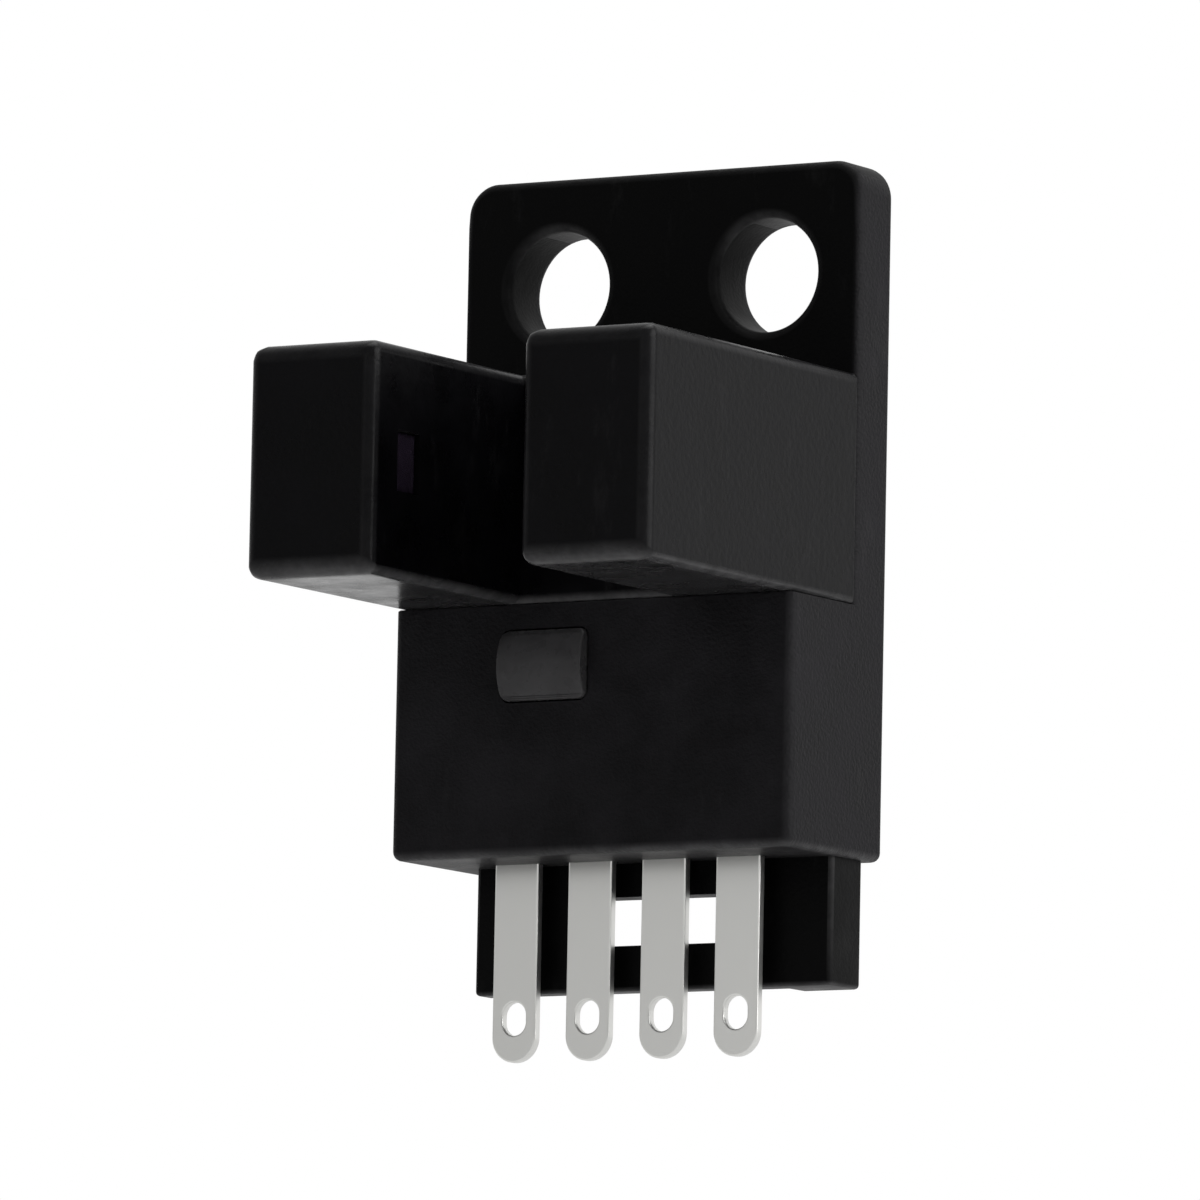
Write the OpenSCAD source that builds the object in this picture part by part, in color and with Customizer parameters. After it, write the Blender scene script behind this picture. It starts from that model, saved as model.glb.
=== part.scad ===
// Slotted optical switch: a forked sensing head on a screw-mounted plate, with solder terminals below.
// The origin is on the mounting face, midway between the screw holes. +Z is up and +Y leaves the
// mounting face, so the arms of the head point along -Y. All sizes are in millimetres.

/* [Sensing head] */
// Width of the slot that the target passes through
slot_w = 5; // [4:0.1:7]
// Depth of the slot, from the tips of the arms to its root
slot_depth = 8.4; // [6:0.1:12]
// Width of one arm
arm_w = 4.35; // [4:0.05:6]
// Height of the arms
head_h = 6.9; // [6:0.1:9]
// Radius of the arms' upright corners
arm_corner_r = 0.4; // [0.2:0.05:0.7]
// Radius of the level edges at the arms' tips
arm_tip_r = 0.6; // [0.2:0.05:0.7]
// Wall thickness of the hood and of the base
wall_t = 0.8; // [0.6:0.05:1]
// Length of the hood's lip that drops into the base
lip_h = 0.4; // [0.3:0.05:0.4]
// Thickness of that lip
lip_t = 0.5; // [0.3:0.05:0.6]
// Width of the ribs in the hood that hold the circuit board
rib_w = 0.6; // [0.4:0.05:0.8]
// How far those ribs reach down over the circuit board
rib_grip = 0.6; // [0.4:0.05:0.9]

/* [Mounting plate] */
// Thickness of the plate
plate_t = 2; // [1.6:0.1:3]
// Height of the plate above the head
ear_h = 6.4; // [5.5:0.1:9]
// Diameter of the screw holes
screw_hole_d = 3.4; // [2.4:0.1:3.6]
// Width of the chamfers on the screw holes' rims
screw_rim = 0.3; // [0.1:0.05:0.4]
// Distance between the screw holes
screw_pitch = 7.2; // [5:0.1:8]
// Distance from the screw holes to the plate's top edge
screw_edge = 3.3; // [2.6:0.1:3.6]
// Radius of the plate's top corners
plate_corner_r = 1; // [0.3:0.1:1.5]
// Depth of the pockets that clear the soldered lead ends
lead_pocket_depth = 0.9; // [0.7:0.05:1.2]
// Clearance around the solder joints in those pockets
lead_pocket_gap = 0.2; // [0.1:0.05:0.3]

/* [Base] */
// Height of the base under the head
base_h = 7.5; // [6.8:0.1:12]
// Thickness of the base's floor
floor_t = 1; // [0.8:0.1:2]
// Room in front of the circuit board for its parts
part_room = 1.8; // [1.6:0.1:3]
// Radius of the base's upright front corners
base_corner_r = 0.3; // [0.2:0.05:0.6]

/* [Connector guide] */
// Height of the guide below the base
guide_h = 3.8; // [3.5:0.1:5]
// Thickness of the guide's web
guide_web_t = 0.9; // [0.7:0.05:1.2]
// Depth of the polarising post at the end of the guide
guide_post_d = 1.8; // [1.2:0.1:2]
// Width of that post
guide_post_w = 1.95; // [1.2:0.05:2.2]
// Gap between the terminals and the guide
guide_gap = 0.5; // [0.3:0.05:0.7]
// Step from the side of the base to the post
guide_post_step = 0.3; // [0.1:0.05:0.5]
// Step from the other side of the base to the web
guide_web_step = 1.15; // [0.5:0.05:2]
// Width of the window that a plug's catch locks in
lock_w = 5.2; // [3:0.1:6]
// Height of that window
lock_h = 1.45; // [1:0.05:1.6]
// Distance from the base down to that window
lock_drop = 1; // [0.8:0.05:1.4]
// Offset of that window from the middle of the terminals
lock_x = 1; // [0:0.1:1.2]

/* [Terminals] */
// Distance from one terminal to the next
terminal_pitch = 2.54; // [2.2:0.01:2.6]
// Width of a terminal's blade
terminal_w = 1.5; // [1.2:0.05:1.6]
// Thickness of a terminal
terminal_t = 0.3; // [0.2:0.05:0.5]
// Length of a terminal below the base
terminal_out = 5.9; // [5:0.1:9]
// Length of a terminal's pad on the circuit board
terminal_pad = 2.6; // [1.8:0.1:2.8]
// Width that the pad's shoulders add on each side
terminal_shoulder = 0.2; // [0.1:0.05:0.3]
// Width of the solder eye
eye_w = 0.8; // [0.4:0.05:0.9]
// Length of the solder eye
eye_l = 1; // [0.9:0.05:1.4]
// Distance from a terminal's tip to the middle of its solder eye
eye_edge = 1.3; // [1:0.05:1.6]

/* [Circuit board] */
// Thickness of the circuit board
board_t = 1; // [0.6:0.1:1.6]
// Clearance between the circuit board's edges and the walls around it
board_gap = 0.1; // [0.05:0.05:0.3]
// Distance from the board's top edge to the upper row of parts
part_row_drop = 2; // [1.9:0.1:2.2]
// Distance between the two rows of parts
part_row_pitch = 2.2; // [2.1:0.1:2.4]
// Distance between the columns of parts
part_column_pitch = 2.6; // [2.4:0.1:3]

/* [Optical elements] */
// Size of an element's moulded body along the arm
element_w = 2.2; // [1.8:0.1:3]
// Height of an element's moulded body
element_h = 3; // [2.6:0.1:4]
// Clearance between an element and the hood
element_gap = 0.1; // [0.05:0.05:0.2]
// Diameter of an element's lens
lens_d = 1.8; // [1.2:0.1:1.8]
// Height of an element's lens
lens_rise = 0.6; // [0.3:0.05:0.7]
// Width of the optical windows in the slot
window_w = 1.2; // [0.8:0.1:1.4]
// Height of the optical windows in the slot
window_h = 1.8; // [1:0.1:2.4]
// Depth that the windows lie below the slot's faces
window_recess = 0.15; // [0:0.05:0.3]
// Thickness of the windows' flanges
window_flange_t = 0.3; // [0.2:0.05:0.4]
// Width of the windows' flanges around the nose
window_flange_w = 0.3; // [0.2:0.05:0.3]
// Side of a square lead
lead_w = 0.4; // [0.3:0.05:0.45]
// Distance from an element's lens face to its leads
lead_inset = 0.45; // [0.3:0.05:0.5]
// Distance between the emitter's leads
emitter_lead_pitch = 1.3; // [1.1:0.1:2]
// Distance between the receiver's leads
receiver_lead_pitch = 1; // [1:0.05:1.2]
// Length of the leads behind the circuit board
lead_tail = 0.6; // [0.5:0.05:0.65]
// Diameter of the lead holes in the circuit board
lead_hole_d = 0.7; // [0.65:0.05:0.8]
// Diameter of a solder joint on the circuit board
solder_d = 0.9; // [0.8:0.05:0.95]
// Height of a solder joint
solder_h = 0.45; // [0.3:0.05:0.5]

/* [Indicator] */
// Width of the indicator's window in the front of the base
indicator_w = 3; // [2.4:0.1:4]
// Height of the indicator's window
indicator_h = 2.2; // [1.4:0.1:2.2]
// Offset of the indicator's window from the middle of the base
indicator_x = -1.6; // [-2.4:0.1:2.4]
// Distance from the head down to the middle of the indicator's window
indicator_drop = 1.85; // [1.85:0.05:2.1]
// Distance that the upper and lower edges of the indicator's window stand proud
indicator_proud = 0.05; // [0:0.05:0.2]
// Height of the round front of the indicator's window
indicator_crown = 0.35; // [0.15:0.05:0.5]
// Radius of the indicator's corners
indicator_corner_r = 0.3; // [0.1:0.05:0.4]
// Thickness of the indicator's flange
indicator_flange_t = 0.4; // [0.2:0.05:0.5]
// Width of the indicator's flange around its nose
indicator_flange_w = 0.3; // [0.2:0.05:0.3]

/* [Board parts] */
// Length of the chip resistors, the capacitor and the indicator lamp
chip_l = 1.6; // [1.2:0.1:1.8]
// Width of those chips
chip_w = 0.8; // [0.5:0.05:0.9]
// Height of the chip resistors
resistor_h = 0.45; // [0.3:0.05:0.6]
// Height of the capacitor
capacitor_h = 0.8; // [0.5:0.05:0.9]
// Height of the indicator lamp
lamp_h = 0.6; // [0.4:0.05:0.7]
// Length of the output transistor's body
transistor_l = 2.9; // [2.4:0.1:3]
// Width of the output transistor's body
transistor_w = 1.3; // [1:0.1:1.4]
// Height of the output transistor
transistor_h = 1; // [0.8:0.05:1.1]
// Distance between the two legs on one side of the transistor
leg_pitch = 1.9; // [1.4:0.1:2]
// Width of a transistor leg
leg_w = 0.4; // [0.3:0.05:0.5]
// Reach of a transistor leg from the body
leg_reach = 0.45; // [0.3:0.05:0.5]
// Thickness of a transistor leg
leg_t = 0.12; // [0.1:0.01:0.16]
// Length of the protection diode's body
diode_l = 1.7; // [1.4:0.1:1.8]
// Width of the protection diode's body
diode_w = 1.25; // [1:0.05:1.3]
// Height of the protection diode
diode_h = 0.9; // [0.7:0.05:1]

/* [Fits] */
// Clearance between pieces that slide into each other
fit = 0.05; // [0.03:0.01:0.08]

/* [Hidden] */
$fn = 64;

// Cutters reach this far past the faces that they open
past = 1;

// Number of terminals in the row, each with a node of its own
terminal_count = 4;

// Sides of the part: the emitter is in the right arm and the receiver in the left arm
right = 1;
left = -1;

// Widths, all about the middle plane
body_w = slot_w + 2 * arm_w;
half_w = body_w / 2;
inner_half_w = half_w - wall_t;
lip_half_w = inner_half_w - fit;
board_half_w = inner_half_w - board_gap;

// Levels along Y, from the mounting face forward
board_back_y = -plate_t;
board_front_y = board_back_y - board_t;
inner_front_y = board_front_y - part_room;
base_front_y = inner_front_y - wall_t;
tip_y = base_front_y - slot_depth;
axis_y = tip_y + wall_t + element_gap + element_w / 2;
terminal_front_y = board_front_y - terminal_t;
guide_front_y = board_front_y + guide_gap;

// Levels along Z, from the screw holes down
plate_top_z = screw_edge;
head_top_z = plate_top_z - ear_h;
head_bottom_z = head_top_z - head_h;
base_bottom_z = head_bottom_z - base_h;
floor_z = base_bottom_z + floor_t;
axis_z = (head_top_z + head_bottom_z) / 2;
board_top_z = head_top_z - wall_t - board_gap;
indicator_z = head_bottom_z - indicator_drop;
terminal_tip_z = base_bottom_z - terminal_out;
guide_bottom_z = base_bottom_z - guide_h;
upper_row_z = board_top_z - part_row_drop;
lower_row_z = upper_row_z - part_row_pitch;

// An arm's inside, measured outward from the middle plane
slot_face_x = slot_w / 2;
arm_inner_x = slot_face_x + wall_t;
window_back_x = arm_inner_x + window_flange_t;
lens_tip_x = window_back_x + element_gap;
lens_face_x = lens_tip_x + lens_rise;
element_back_x = inner_half_w - element_gap;
lead_x = lens_face_x + lead_inset;
lens_r = (pow(lens_d / 2, 2) + pow(lens_rise, 2)) / (2 * lens_rise);

// Heights of each element's leads, from the optical axis
emitter_leads_z = [-emitter_lead_pitch / 2, emitter_lead_pitch / 2];
receiver_leads_z = [-receiver_lead_pitch, 0, receiver_lead_pitch];

// Size of the plate's pockets, which clear the taller row of solder joints
lead_pocket_w = solder_d + 2 * lead_pocket_gap;
lead_pocket_h = max(emitter_lead_pitch, 2 * receiver_lead_pitch) + lead_pocket_w;

// Place of a terminal along the row
function terminal_x(index) = (index - (terminal_count - 1) / 2) * terminal_pitch;

// The pair of values that spans a size about a middle
function about(middle, size) = [middle - size / 2, middle + size / 2];

// A block between two values on each axis
module block(x, y, z) {
  translate([x[0], y[0], z[0]])
    cube([x[1] - x[0], y[1] - y[0], z[1] - z[0]]);
}

// A rectangle about the origin with round corners
module rounded_rect(w, h, r) {
  square([w, h - 2 * r], center = true);
  square([w - 2 * r, h], center = true);
  for (x = [left, right], y = [-1, 1])
    translate([x * (w / 2 - r), y * (h / 2 - r)])
      circle(r);
}

// Stands a flat outline, drawn in X and Z, upright between two levels along Y
module upright(back_y, front_y) {
  translate([0, back_y, 0])
    rotate([90, 0, 0])
      linear_extrude(back_y - front_y)
        children();
}

// Outline of the mounting plate, with its top corners round
module plate_outline() {
  translate([-half_w, base_bottom_z])
    square([body_w, plate_top_z - plate_corner_r - base_bottom_z]);
  translate([-half_w + plate_corner_r, base_bottom_z])
    square([body_w - 2 * plate_corner_r, plate_top_z - base_bottom_z]);
  for (side = [left, right])
    translate([side * (half_w - plate_corner_r), plate_top_z - plate_corner_r])
      circle(plate_corner_r);
}

// Plan of the base, with its front corners round
module base_plan() {
  translate([-half_w, base_front_y + base_corner_r])
    square([body_w, -base_front_y - base_corner_r]);
  translate([-half_w + base_corner_r, base_front_y])
    square([body_w - 2 * base_corner_r, -base_front_y]);
  for (side = [left, right])
    translate([side * (half_w - base_corner_r), base_front_y + base_corner_r])
      circle(base_corner_r);
}

// The web behind the terminals and the polarising post at its end
module connector_guide() {
  web_left_x = -half_w + guide_web_step;
  post_right_x = half_w - guide_post_step;
  guide_z = [guide_bottom_z, base_bottom_z];
  difference() {
    block([web_left_x, post_right_x], [guide_front_y, guide_front_y + guide_web_t], guide_z);
    block(about(lock_x, lock_w),
          [guide_front_y - past, guide_front_y + guide_web_t + past],
          [base_bottom_z - lock_drop - lock_h, base_bottom_z - lock_drop]);
  }
  block([post_right_x - guide_post_w, post_right_x],
        [guide_front_y, guide_front_y + guide_post_d], guide_z);
}

// An upright slot with full round ends, about the origin
module rounded_slot(w, l) {
  square([w, l - w], center = true);
  for (y = [-1, 1])
    translate([0, y * (l - w) / 2])
      circle(w / 2);
}

// Outline of one terminal from its tip, with a round end and a solder eye
module terminal_outline() {
  end_r = terminal_w / 2;
  pad_w = terminal_w + 2 * terminal_shoulder;
  difference() {
    union() {
      translate([0, terminal_tip_z + end_r])
        circle(end_r);
      translate([-end_r, terminal_tip_z + end_r])
        square([terminal_w, floor_z - terminal_tip_z - end_r]);
      translate([-pad_w / 2, floor_z])
        square([pad_w, terminal_pad]);
    }
    translate([0, terminal_tip_z + eye_edge])
      rounded_slot(eye_w, eye_l);
  }
}

// One terminal, counted from the left as seen from the front
module terminal(index) {
  color("silver")
    translate([terminal_x(index), 0, 0])
      upright(board_front_y, terminal_front_y)
        terminal_outline();
}

// Cutter for a screw hole through the plate, with a chamfer on each rim
module screw_hole() {
  rim_d = screw_hole_d + 2 * screw_rim;
  rotate([90, 0, 0]) {
    translate([0, 0, -past])
      cylinder(h = plate_t + 2 * past, d = screw_hole_d);
    cylinder(h = screw_rim, d1 = rim_d, d2 = screw_hole_d);
    translate([0, 0, plate_t - screw_rim])
      cylinder(h = screw_rim, d1 = screw_hole_d, d2 = rim_d);
  }
}

// Mounting plate, hollow base and connector guide, moulded as one piece
module case() {
  color([0.09, 0.09, 0.1])
    difference() {
      union() {
        upright(0, -plate_t)
          plate_outline();
        translate([0, 0, base_bottom_z])
          linear_extrude(base_h)
            base_plan();
        connector_guide();
      }
      block([-inner_half_w, inner_half_w], [inner_front_y, board_back_y],
            [floor_z, head_bottom_z + past]);
      for (side = [left, right]) {
        translate([side * screw_pitch / 2, 0, 0])
          screw_hole();
        translate([side * lead_x, 0, axis_z])
          block(about(0, lead_pocket_w), [board_back_y - past, board_back_y + lead_pocket_depth],
                about(0, lead_pocket_h));
      }
      for (index = [0:terminal_count - 1])
        translate([terminal_x(index), 0, 0])
          block(about(0, terminal_w + 2 * fit), [terminal_front_y - fit, board_front_y + fit],
                [base_bottom_z - past, floor_z + past]);
      translate([indicator_x, 0, indicator_z])
        upright(inner_front_y + past, base_front_y - past)
          rounded_rect(indicator_w, indicator_h, indicator_corner_r);
    }
}

// Plan of the hood: two arms joined by a bridge that meets the plate
module hood_plan() {
  arm_l = board_back_y - tip_y;
  for (side = [left, right])
    translate([side * (slot_face_x + arm_w / 2), (board_back_y + tip_y) / 2])
      rounded_rect(arm_w, arm_l, arm_corner_r);
  translate([-half_w, base_front_y])
    square([body_w, board_back_y - base_front_y]);
}

// Side view of the hood in Y and Z, with the level edges of the tips round
module hood_profile() {
  translate([tip_y + arm_tip_r, head_bottom_z])
    square([board_back_y - tip_y - arm_tip_r, head_h]);
  translate([tip_y, head_bottom_z + arm_tip_r])
    square([board_back_y - tip_y, head_h - 2 * arm_tip_r]);
  for (z = [head_bottom_z + arm_tip_r, head_top_z - arm_tip_r])
    translate([tip_y + arm_tip_r, z])
      circle(arm_tip_r);
}

// Outside of the hood
module hood_shell() {
  intersection() {
    translate([0, 0, head_bottom_z])
      linear_extrude(head_h)
        hood_plan();
    translate([-half_w, 0, 0])
      rotate([90, 0, 90])
        linear_extrude(body_w)
          hood_profile();
  }
}

// Room in the hood for the elements and for the upper end of the circuit board
module hood_cavity() {
  cavity_top_z = head_top_z - wall_t;
  for (side = [left, right])
    mirror([side == left ? 1 : 0, 0, 0])
      block([arm_inner_x, inner_half_w], [tip_y + wall_t, inner_front_y + past],
            [head_bottom_z + wall_t, cavity_top_z]);
  block([-inner_half_w, inner_half_w], [inner_front_y, board_back_y + past],
        [head_bottom_z - past, cavity_top_z]);
}

// Lip under the hood that drops into the base behind its front wall
module hood_lip() {
  lip_front_y = inner_front_y + fit;
  lip_back_y = lip_front_y + lip_t;
  block([-lip_half_w, lip_half_w], [lip_front_y, lip_back_y], [head_bottom_z - lip_h, head_bottom_z]);
  block([-inner_half_w, inner_half_w], [inner_front_y, lip_back_y],
        [head_bottom_z, head_bottom_z + wall_t]);
}

// Ribs on the slot's root that hold the circuit board against the plate
module board_ribs() {
  for (side = [left, right])
    translate([side * slot_face_x, 0, 0])
      block(about(0, rib_w), [inner_front_y, board_front_y],
            [board_top_z - rib_grip, head_top_z - wall_t]);
}

// Forked hood of the head, hollow and open at the back, seated on the base and against the plate
module hood() {
  color([0.05, 0.05, 0.06]) {
    difference() {
      hood_shell();
      hood_cavity();
      for (side = [left, right])
        translate([side * (slot_face_x + wall_t / 2), axis_y, axis_z])
          cube([wall_t + 2 * fit, window_w, window_h], center = true);
    }
    hood_lip();
    board_ribs();
  }
}

// Optical window set into a slot wall from inside the arm
module optical_window(side) {
  nose_w = window_w - 2 * fit;
  nose_h = window_h - 2 * fit;
  flange_w = window_w + 2 * window_flange_w;
  flange_h = window_h + 2 * window_flange_w;
  color([0.2, 0.12, 0.2])
    mirror([side == left ? 1 : 0, 0, 0]) {
      block([slot_face_x + window_recess, arm_inner_x], about(axis_y, nose_w),
            about(axis_z, nose_h));
      block([arm_inner_x, window_back_x], about(axis_y, flange_w),
            about(axis_z, flange_h));
    }
}

// Outline of the indicator's nose
module indicator_nose() {
  rounded_rect(indicator_w - 2 * fit, indicator_h - 2 * fit, indicator_corner_r - fit);
}

// Window in front of the indicator lamp; its front is round from top to bottom
module indicator_window() {
  flange_w = indicator_w + 2 * indicator_flange_w;
  flange_h = indicator_h + 2 * indicator_flange_w;
  nose_half_h = indicator_h / 2 - fit;
  crown_r = (nose_half_h * nose_half_h / indicator_crown + indicator_crown) / 2;
  edge_y = base_front_y - indicator_proud;
  color([0.35, 0.1, 0.1])
    translate([indicator_x, 0, indicator_z]) {
      upright(inner_front_y, edge_y)
        indicator_nose();
      intersection() {
        upright(edge_y, edge_y - indicator_crown)
          indicator_nose();
        translate([0, edge_y - indicator_crown + crown_r, 0])
          rotate([0, 90, 0])
            cylinder(h = indicator_w, r = crown_r, center = true);
      }
      upright(inner_front_y + indicator_flange_t, inner_front_y)
        rounded_rect(flange_w, flange_h, indicator_corner_r);
    }
}

// Board that stands on the base's floor, flat against the plate
module circuit_board() {
  color("darkgreen")
    difference() {
      block([-board_half_w, board_half_w], [board_front_y, board_back_y], [floor_z, board_top_z]);
      for (z = emitter_leads_z)
        lead_hole(right, z);
      for (z = receiver_leads_z)
        lead_hole(left, z);
    }
}

module lead_hole(side, z) {
  translate([side * lead_x, board_back_y + past, axis_z + z])
    rotate([90, 0, 0])
      cylinder(h = board_t + 2 * past, d = lead_hole_d);
}

// Moulded body of an element, with its lens facing the slot
module element_body(side) {
  mirror([side == left ? 1 : 0, 0, 0]) {
    block([lens_face_x, element_back_x], about(axis_y, element_w),
          about(axis_z, element_h));
    intersection() {
      translate([lens_tip_x + lens_r, axis_y, axis_z])
        sphere(lens_r);
      block([lens_tip_x - past, lens_face_x], about(axis_y, lens_d),
            about(axis_z, lens_d));
    }
  }
}

// Straight leads from an element's back through the circuit board
module element_leads(side, heights) {
  color("silver")
    for (z = heights)
      translate([side * lead_x, 0, axis_z + z])
        block(about(0, lead_w), [axis_y + element_w / 2, board_back_y + lead_tail],
              about(0, lead_w));
}

module emitter_body() {
  color([0.75, 0.75, 0.85])
    element_body(right);
}

module receiver_body() {
  color([0.1, 0.08, 0.12])
    element_body(left);
}

// Solder cone around a lead behind the circuit board
module solder_joint(side, z) {
  translate([side * lead_x, board_back_y, axis_z + z])
    difference() {
      rotate([-90, 0, 0])
        cylinder(h = solder_h, d1 = solder_d, d2 = (solder_d + lead_w) / 2);
      block(about(0, lead_w), [-past, past], about(0, lead_w));
    }
}

module lead_solder() {
  color("lightgray") {
    for (z = emitter_leads_z)
      solder_joint(right, z);
    for (z = receiver_leads_z)
      solder_joint(left, z);
  }
}

// A chip soldered flat on the front of the circuit board
module board_part(x, z, w, l, h) {
  translate([x, 0, z])
    block(about(0, w), [board_front_y - h, board_front_y], about(0, l));
}

module resistor(column) {
  color([0.12, 0.12, 0.12])
    board_part(column * part_column_pitch, upper_row_z, chip_w, chip_l, resistor_h);
}

module supply_capacitor() {
  color([0.6, 0.5, 0.35])
    board_part(left * part_column_pitch, lower_row_z, chip_w, chip_l, capacitor_h);
}

module protection_diode() {
  color([0.12, 0.12, 0.12])
    board_part(right * part_column_pitch, lower_row_z, diode_w, diode_l, diode_h);
}

module indicator_lamp() {
  color("red")
    board_part(indicator_x, indicator_z, chip_l, chip_w, lamp_h);
}

// Transistor body, held off the board by its legs
module output_transistor() {
  color([0.12, 0.12, 0.12])
    translate([0, 0, lower_row_z])
      block(about(0, transistor_l), [board_front_y - transistor_h, board_front_y - leg_t],
            about(0, transistor_w));
}

// One bent leg: a foot on the board and a rise to the body's upper or lower side
module transistor_leg(x, below) {
  translate([x, 0, lower_row_z])
    mirror([0, 0, below ? 1 : 0])
      translate([0, 0, transistor_w / 2]) {
        block(about(0, leg_w), [board_front_y - leg_t, board_front_y], [0, leg_reach]);
        block(about(0, leg_w), [board_front_y - transistor_h / 2, board_front_y], [0, leg_t]);
      }
}

module transistor_legs() {
  color("silver") {
    transistor_leg(0, below = false);
    for (side = [left, right])
      transistor_leg(side * leg_pitch / 2, below = true);
  }
}

case();
hood();
optical_window(right);  // emitter_window
optical_window(left);  // receiver_window
indicator_window();
circuit_board();
emitter_body();
element_leads(right, emitter_leads_z);  // emitter_leads
receiver_body();
element_leads(left, receiver_leads_z);  // receiver_leads
lead_solder();
indicator_lamp();
output_transistor();
transistor_legs();
resistor(right);  // emitter_resistor
resistor(left);  // indicator_resistor
resistor(0);  // base_resistor
supply_capacitor();
protection_diode();
terminal(0);  // terminal_supply
terminal(1);  // terminal_light_on
terminal(2);  // terminal_output
terminal(3);  // terminal_ground
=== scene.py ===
"""Dresses the solids of a slotted optical switch and sets it on a pale stage."""

import math

import bmesh
import bpy
from bpy.props import FloatProperty, FloatVectorProperty, IntProperty, PointerProperty
from mathutils import Matrix, Vector


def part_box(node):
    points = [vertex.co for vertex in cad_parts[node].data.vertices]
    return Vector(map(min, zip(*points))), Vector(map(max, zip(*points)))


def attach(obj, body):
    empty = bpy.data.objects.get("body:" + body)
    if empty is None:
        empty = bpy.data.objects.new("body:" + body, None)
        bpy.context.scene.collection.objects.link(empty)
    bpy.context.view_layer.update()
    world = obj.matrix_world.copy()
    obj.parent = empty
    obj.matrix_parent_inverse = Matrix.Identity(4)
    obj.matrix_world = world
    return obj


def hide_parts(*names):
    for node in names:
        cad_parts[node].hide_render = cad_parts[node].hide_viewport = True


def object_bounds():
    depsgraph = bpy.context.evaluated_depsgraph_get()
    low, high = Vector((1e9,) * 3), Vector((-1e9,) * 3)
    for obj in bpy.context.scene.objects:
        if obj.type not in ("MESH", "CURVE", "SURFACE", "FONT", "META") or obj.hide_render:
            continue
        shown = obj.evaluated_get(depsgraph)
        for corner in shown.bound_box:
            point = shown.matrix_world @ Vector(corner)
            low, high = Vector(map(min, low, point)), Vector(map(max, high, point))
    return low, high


bl_info = {
    "name": "Slotted Optical Switch",
    "version": (1, 0, 0),
    "blender": (4, 5, 0),
    "location": "3D View > Sidebar > Optical Switch",
    "description": "Dresses the case, hood, windows, terminals and board of a slotted optical switch",
    "category": "Object",
}

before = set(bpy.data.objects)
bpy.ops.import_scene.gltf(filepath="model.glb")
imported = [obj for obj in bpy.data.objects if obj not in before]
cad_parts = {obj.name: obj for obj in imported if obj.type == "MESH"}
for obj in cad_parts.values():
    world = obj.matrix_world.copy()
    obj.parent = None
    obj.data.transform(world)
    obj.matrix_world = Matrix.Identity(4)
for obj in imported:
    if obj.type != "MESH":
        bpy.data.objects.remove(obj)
CAD_BOX = [list(corner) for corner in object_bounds()]

MM = 0.001
TERMINALS = ("terminal_supply", "terminal_light_on", "terminal_output", "terminal_ground")
OPTICAL_WINDOWS = ("emitter_window", "receiver_window")
# Corner attribute: slight wear on rounded edges, and painted light from below on edges and undersides that
# face down.
EDGE_WEAR_AND_UNDERLIGHT = "edge_wear_and_underlight"
UNDERSIDE_PAINTED_LIGHT = 0.6

# Fits and small sizes inside the mouldings, in millimetres.
FIT = 0.05
BITE = 0.1
OVERCUT = 0.5
NEAR = 1e-4
GUIDE_SINK = 0.4
GUIDE_EDGE = 0.14
LOCK_CORNER = 0.15
LENS_EDGE = 0.06
LEAD_POCKET_GAP = 0.45
LEAD_POCKET_DEPTH = 0.9
LIP_THICKNESS = 0.5
RIB_WIDTH = 0.6
RIB_GRIP = 0.6

# Lamps: name, place from the middle of the object and side length, in metres.
LAMPS = (
    ("key", (0.34, 0.04, 0.16), 0.3),
    ("fill", (-0.12, -0.42, 0.16), 0.32),
    ("top", (0.02, 0.06, 0.42), 0.36),
)
FRAME_PIXELS = 1200.0
SENSOR_WIDTH = 36.0

CASE_LOW, CASE_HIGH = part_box("case")
HOOD_LOW, HOOD_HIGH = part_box("hood")
BOARD_LOW, BOARD_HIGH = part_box("circuit_board")
BLADE_LOW, BLADE_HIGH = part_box(TERMINALS[0])
NEXT_BLADE_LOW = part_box(TERMINALS[1])[0]
LAMP_LOW, LAMP_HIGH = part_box("indicator_lamp")


def length(name, description, default):
    """A size in metres, shown in the scene's units."""
    return FloatProperty(name=name, description=description, default=default, unit="LENGTH", precision=5)


def colour(name, description, default):
    """A linear colour without alpha."""
    return FloatVectorProperty(
        name=name, description=description, default=default, subtype="COLOR", size=3, min=0.0, max=1.0
    )


def turned(name, description, degrees):
    """An angle, given in degrees."""
    turn = math.radians(degrees)
    return FloatProperty(name=name, description=description, default=turn, subtype="ANGLE")


def number(name, description, default):
    """A number that isn't negative."""
    return FloatProperty(name=name, description=description, default=default, min=0.0)


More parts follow.
